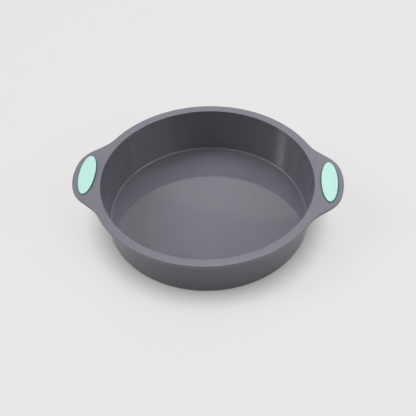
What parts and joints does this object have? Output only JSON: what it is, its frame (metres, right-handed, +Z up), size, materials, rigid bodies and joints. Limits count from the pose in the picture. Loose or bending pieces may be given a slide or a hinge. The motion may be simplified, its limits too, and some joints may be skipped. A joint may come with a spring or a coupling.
{
  "type": "round cake pan",
  "caption": "Round silicone cake pan with a flat steel-stiffened rim and two flat ears that hold soft oval grip pads.",
  "frame": {"origin": "centre of the flat underside of the base", "axes": "+X along the two ears, towards the right ear; +Z up, out of the mouth of the pan"},
  "size_m": [0.29, 0.248, 0.0564],
  "materials": {
    "grey_silicone": "polished moulded silicone, mid grey with a cool tint",
    "mint_silicone": "satin moulded silicone, pale mint green",
    "steel_wire": "drawn flat stainless wire, hidden in the silicone"
  },
  "bodies": {
    "root": {"pan_body": "grey_silicone", "grip_pad_left": "mint_silicone", "grip_pad_right": "mint_silicone", "rim_wire_ring": "steel_wire", "ear_wire_left": "steel_wire", "ear_wire_right": "steel_wire"}
  },
  "joints": []
}
